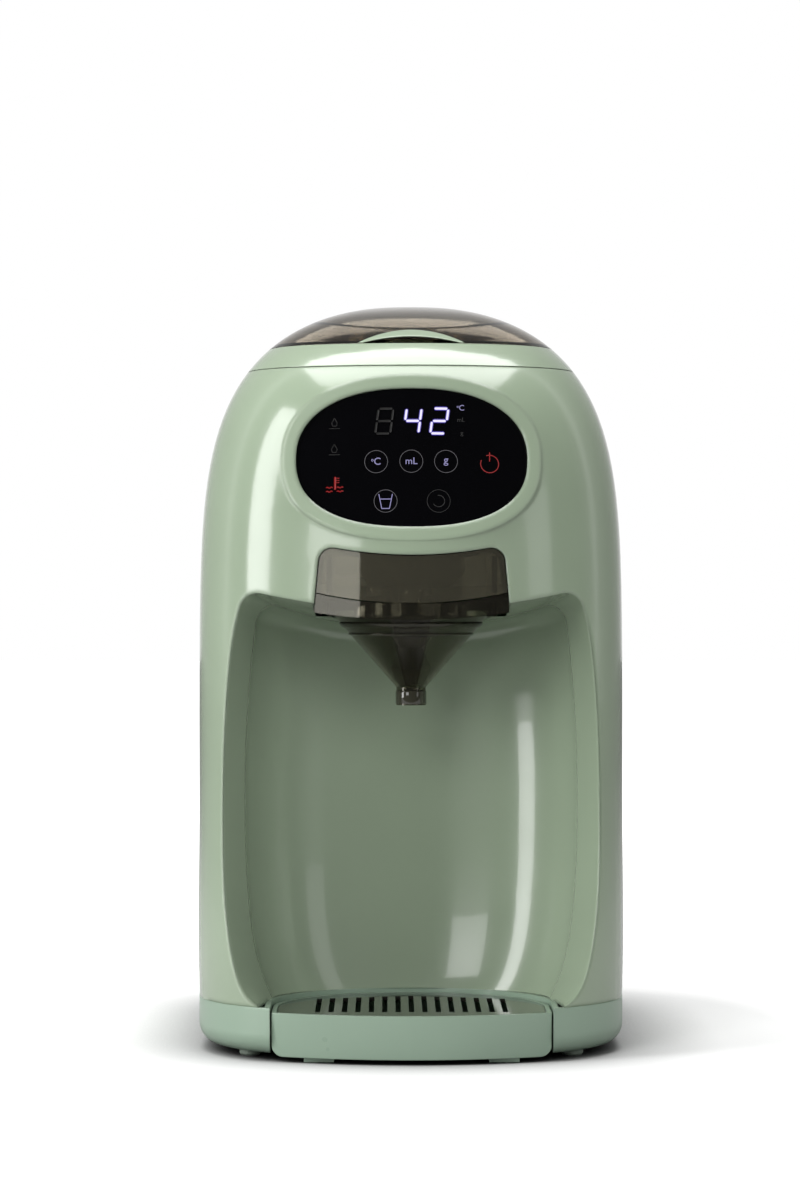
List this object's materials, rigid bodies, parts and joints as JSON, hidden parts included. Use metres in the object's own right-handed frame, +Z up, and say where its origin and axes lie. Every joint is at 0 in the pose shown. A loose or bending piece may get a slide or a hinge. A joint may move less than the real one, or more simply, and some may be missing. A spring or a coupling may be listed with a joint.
{
  "type": "baby formula maker",
  "caption": "Counter-top baby formula maker with a bottle bay, slide-out mixing funnel, oval touch panel, lift-out powder hopper, drip tray and rear water tank.",
  "frame": {"origin": "on the table under the middle of the machine's bounding box", "axes": "+X to the right seen from the front, -Y towards the user, +Z up"},
  "size_m": [0.1962, 0.2703, 0.345],
  "materials": {
    "body_green": "gloss",
    "base_green": "gloss",
    "smoked_clear": "gloss",
    "dark_gloss": "gloss",
    "black_glass": "gloss",
    "dark_plastic": "satin",
    "black_plastic": "satin",
    "white_plastic": "satin",
    "gear_plastic": "matt",
    "steel": "satin",
    "circuit_board": "satin",
    "silicone": "matt"
  },
  "bodies": {
    "housing": {"base_pan": "base_green", "front_housing": "body_green", "bay_liner": "body_green", "rear_housing": "body_green", "top_frame": "body_green", "panel_lens": "black_glass", "display_board": "circuit_board", "display_module": "black_plastic", "key_spring_1": "steel", "key_spring_2": "steel", "key_spring_3": "steel", "main_board": "circuit_board", "transformer": "black_plastic", "pump_body": "black_plastic", "pump_motor": "steel", "heater_body": "steel", "inlet_hose": "silicone", "pump_hose": "silicone", "outlet_hose": "silicone", "outlet_block": "dark_plastic", "outlet_nozzle": "steel", "funnel_rail_left": "dark_plastic", "funnel_rail_right": "dark_plastic", "dose_motor": "steel", "gear_plate": "dark_plastic", "hopper_seat": "dark_plastic", "tank_dock": "dark_plastic", "dock_seal": "silicone", "cord_gland": "black_plastic", "front_foot_left": "silicone", "front_foot_right": "silicone", "rear_foot_left": "silicone", "rear_foot_right": "silicone", "front_screw_left": "steel", "front_screw_right": "steel", "rear_screw_left": "steel", "rear_screw_right": "steel"},
    "drive_gear": {"drive_gear": "gear_plastic", "drive_shaft": "steel"},
    "motor_pinion": {"motor_pinion": "gear_plastic"},
    "powder_hopper": {"hopper_shell": "white_plastic", "hinge_bridge": "body_green", "powder_hinge_pin": "steel", "hopper_seal": "silicone", "dosing_base": "white_plastic"},
    "powder_lid": {"powder_lid": "smoked_clear"},
    "dosing_wheel": {"dosing_wheel": "white_plastic", "stirrer": "white_plastic"},
    "funnel_drawer": {"funnel_cover": "smoked_clear", "funnel_bowl": "smoked_clear", "swirl_insert": "dark_gloss"},
    "drip_tray": {"tray_pan": "body_green"},
    "tray_plate": {"tray_plate": "dark_gloss"},
    "water_tank": {"tank_shell": "smoked_clear", "tank_filter": "white_plastic", "tank_hinge_pin": "steel"},
    "tank_lid": {"tank_lid": "body_green"},
    "tank_valve": {"valve_plunger": "white_plastic"},
    "level_float": {"level_float": "white_plastic"}
  },
  "joints": [
    {"name": "drive_gear_spin", "type": "hinge", "parent": "housing", "child": "drive_gear", "pos_m": [0, -0.04, 0.238], "axis": [0, 0, 1], "continuous": true},
    {"name": "motor_pinion_spin", "type": "hinge", "parent": "housing", "child": "motor_pinion", "pos_m": [0, -0.0148, 0.238], "axis": [0, 0, 1], "continuous": true},
    {"name": "hopper_lift", "type": "slide", "parent": "housing", "child": "powder_hopper", "axis": [0, 0, 1], "range_m": [0, 0.12]},
    {"name": "dosing_wheel_spin", "type": "hinge", "parent": "powder_hopper", "child": "dosing_wheel", "pos_m": [0, -0.04, 0.253], "axis": [0, 0, 1], "continuous": true},
    {"name": "powder_lid_hinge", "type": "hinge", "parent": "powder_hopper", "child": "powder_lid", "pos_m": [0, 0.0622, 0.3413], "axis": [-1, 0, 0], "range_deg": [0, 80]},
    {"name": "funnel_slide", "type": "slide", "parent": "housing", "child": "funnel_drawer", "axis": [0, -1, 0], "range_m": [0, 0.1]},
    {"name": "tray_slide", "type": "slide", "parent": "housing", "child": "drip_tray", "axis": [0, -1, 0], "range_m": [0, 0.12]},
    {"name": "tray_plate_lift", "type": "slide", "parent": "drip_tray", "child": "tray_plate", "axis": [0, 0, 1], "range_m": [0, 0.04]},
    {"name": "tank_lift", "type": "slide", "parent": "housing", "child": "water_tank", "axis": [0, 0, 1], "range_m": [0, 0.2]},
    {"name": "tank_lid_hinge", "type": "hinge", "parent": "water_tank", "child": "tank_lid", "pos_m": [0, 0.1306, 0.3104], "axis": [-1, 0, 0], "range_deg": [0, 90]},
    {"name": "tank_valve_travel", "type": "slide", "parent": "water_tank", "child": "tank_valve", "axis": [0, 0, 1], "range_m": [0, 0.002], "stiffness_N_per_m": 120},
    {"name": "level_float_travel", "type": "slide", "parent": "water_tank", "child": "level_float", "axis": [0, 0, 1], "range_m": [0, 0.08]}
  ],
  "couplings": [
    {"joint": "motor_pinion_spin", "follows": "dosing_wheel_spin", "ratio": -2.5},
    {"joint": "drive_gear_spin", "follows": "dosing_wheel_spin", "ratio": 1}
  ]
}
